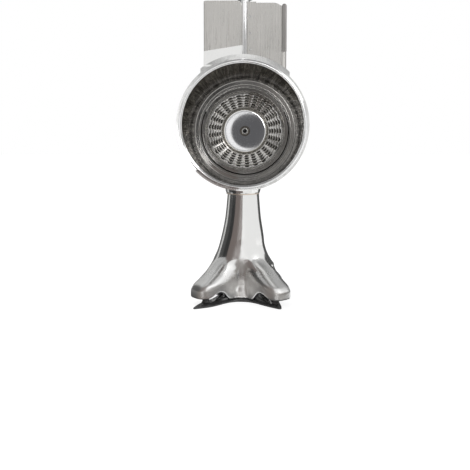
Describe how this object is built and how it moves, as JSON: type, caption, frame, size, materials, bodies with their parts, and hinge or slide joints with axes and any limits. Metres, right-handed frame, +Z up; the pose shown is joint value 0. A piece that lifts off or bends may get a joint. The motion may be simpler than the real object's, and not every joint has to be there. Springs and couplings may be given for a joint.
{
  "type": "hand cranked drum shredder",
  "caption": "Hand cranked drum shredder: polished barrel with a perforated cone drum, sheet hopper, pusher, and a cast four toed foot with a rubber pad.",
  "frame": {"origin": "on the table face of the foot pad, under the drum's axis", "axes": "+Z up, the drum's mouth faces -Y, the crank is at +Y, +X to the right seen from the mouth"},
  "size_m": [0.1252, 0.1832, 0.3262],
  "materials": {
    "polished_cast": "mirror polished casting",
    "polished_trim": "bright polished",
    "brushed_sheet": "vertical brushed grain",
    "drum_steel": "spun and punched, satin",
    "steel_fixings": "turned, bright",
    "bearing_bronze": "plain turned",
    "black_plastic": "semi gloss moulded",
    "pusher_plastic": "fine moulded texture",
    "black_rubber": "matt"
  },
  "bodies": {
    "stand": {"barrel": "polished_cast", "rim": "polished_trim", "collar": "polished_trim", "guide_ring": "polished_trim", "bearing_bush": "bearing_bronze", "hopper_left": "brushed_sheet", "hopper_right": "brushed_sheet", "edge_bar": "polished_trim", "seam_strip": "polished_trim", "rivet_strap": "brushed_sheet", "strap_rivets": "steel_fixings", "hopper_saddle": "polished_cast", "feed_chute": "brushed_sheet", "foot_column": "polished_cast", "barrel_saddle": "polished_cast", "joint_ring": "bearing_bronze", "foot_pad": "black_rubber"},
    "drive": {"drum": "drum_steel", "drum_seam": "drum_steel", "drum_hub": "steel_fixings", "hub_screw": "steel_fixings", "screw_washer": "steel_fixings", "shaft": "steel_fixings", "thrust_washers": "steel_fixings", "crank_arm": "polished_trim", "crank_nut": "steel_fixings", "knob_pin": "steel_fixings"},
    "knob": {"crank_knob": "black_plastic"},
    "pusher": {"pusher_block": "pusher_plastic", "pusher_rod": "steel_fixings", "pusher_grip": "black_plastic"},
    "lift": {"lift_stem": "steel_fixings", "lever_pin": "steel_fixings"},
    "lever": {"cam_lever": "polished_cast", "lever_grip": "black_rubber"}
  },
  "joints": [
    {"name": "crank_spin", "type": "hinge", "parent": "stand", "child": "drive", "pos_m": [0, 0, 0.174], "axis": [0, 1, 0], "continuous": true},
    {"name": "knob_spin", "type": "hinge", "parent": "drive", "child": "knob", "pos_m": [0, 0.09, 0.079], "axis": [0, 1, 0], "continuous": true},
    {"name": "pusher_slide", "type": "slide", "parent": "stand", "child": "pusher", "axis": [0, 0, 1], "range_m": [0, 0.09]},
    {"name": "pad_lift", "type": "slide", "parent": "stand", "child": "lift", "axis": [0, 0, 1], "range_m": [-0.0025, 0]},
    {"name": "lever_swing", "type": "hinge", "parent": "lift", "child": "lever", "pos_m": [-0.002, 0, 0.02255], "axis": [0.9945, -0.1045, 0], "range_deg": [0, 35]}
  ],
  "couplings": [
    {"joint": "pad_lift", "follows": "lever_swing", "m_per_rad": -0.00409}
  ]
}
